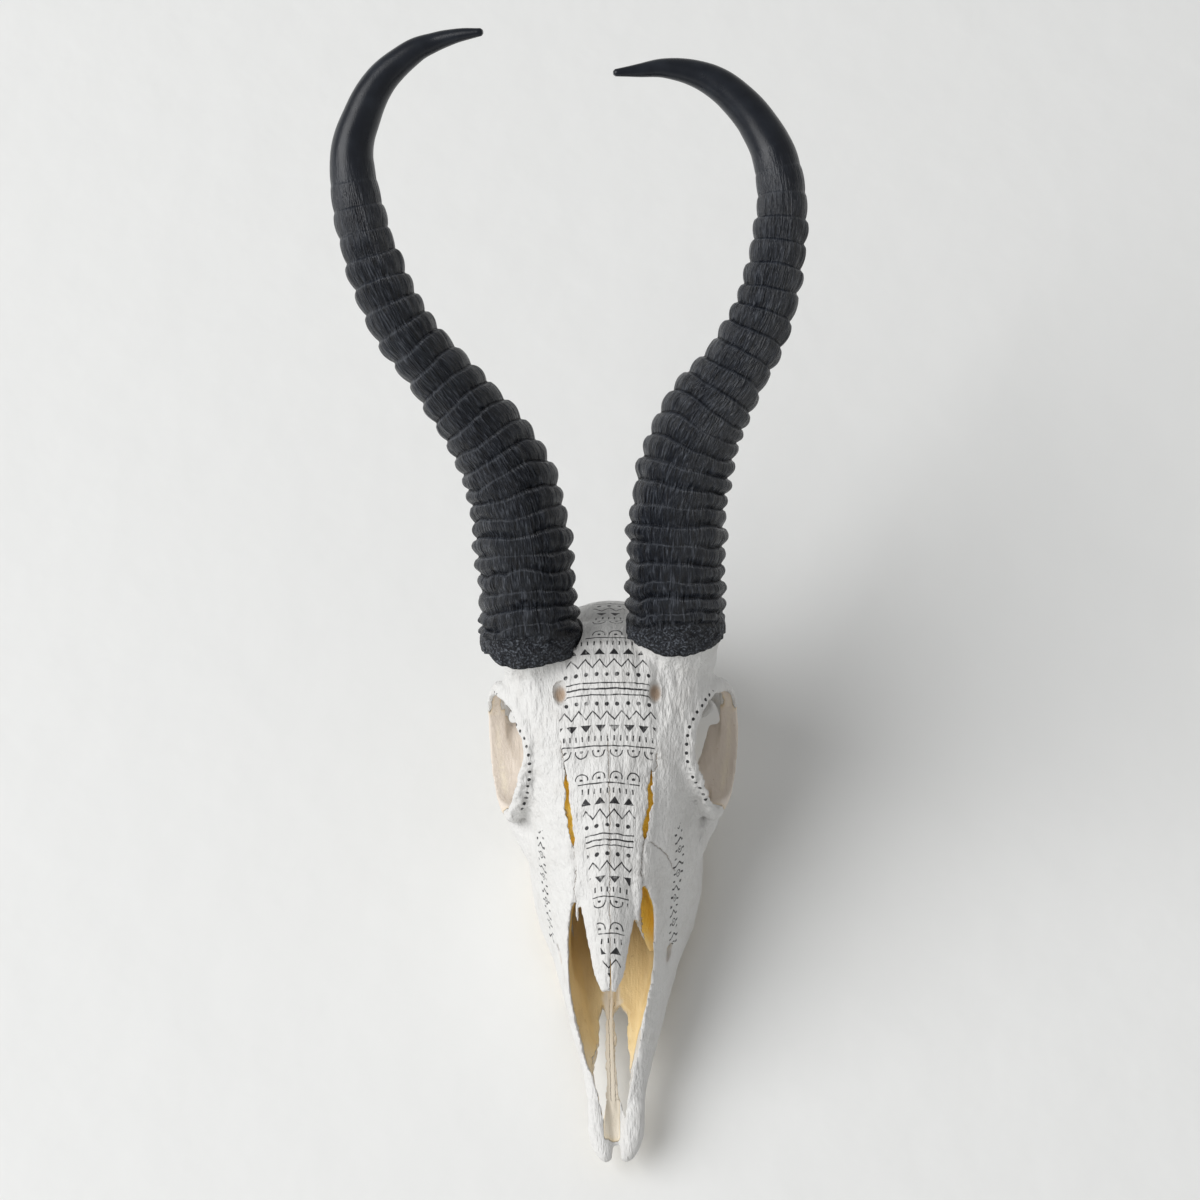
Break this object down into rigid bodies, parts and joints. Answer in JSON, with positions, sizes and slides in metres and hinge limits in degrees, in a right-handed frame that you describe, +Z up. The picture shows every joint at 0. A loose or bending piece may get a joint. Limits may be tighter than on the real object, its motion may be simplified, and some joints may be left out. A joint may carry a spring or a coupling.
{
  "type": "springbok skull",
  "caption": "Springbok ram's skull without its lower jaw, white painted bone with ringed black lyre-shaped horns, resting on its upper teeth.",
  "frame": {"origin": "middle of the bounding box's bottom, on the surface that the teeth stand on", "axes": "-Y towards the snout's tip, +Y towards the back of the head and the horns' tips, +X the animal's left, +Z up from the surface"},
  "size_m": [0.1574, 0.303, 0.2589],
  "materials": {
    "bone": "dry bone under matt white paint, bare and cream to ochre inside the nose, in the orbits and underneath",
    "horn": "black horn, dull and striated on the rings, satin towards the tips",
    "tooth": "cream enamel with brown staining"
  },
  "bodies": {
    "root": {"skull": "bone", "left_horn": "horn", "right_horn": "horn", "left_premolar_2": "tooth", "left_premolar_3": "tooth", "left_premolar_4": "tooth", "left_molar_1": "tooth", "left_molar_2": "tooth", "left_molar_3": "tooth", "right_premolar_2": "tooth", "right_premolar_3": "tooth", "right_premolar_4": "tooth", "right_molar_1": "tooth", "right_molar_2": "tooth", "right_molar_3": "tooth"}
  },
  "joints": []
}
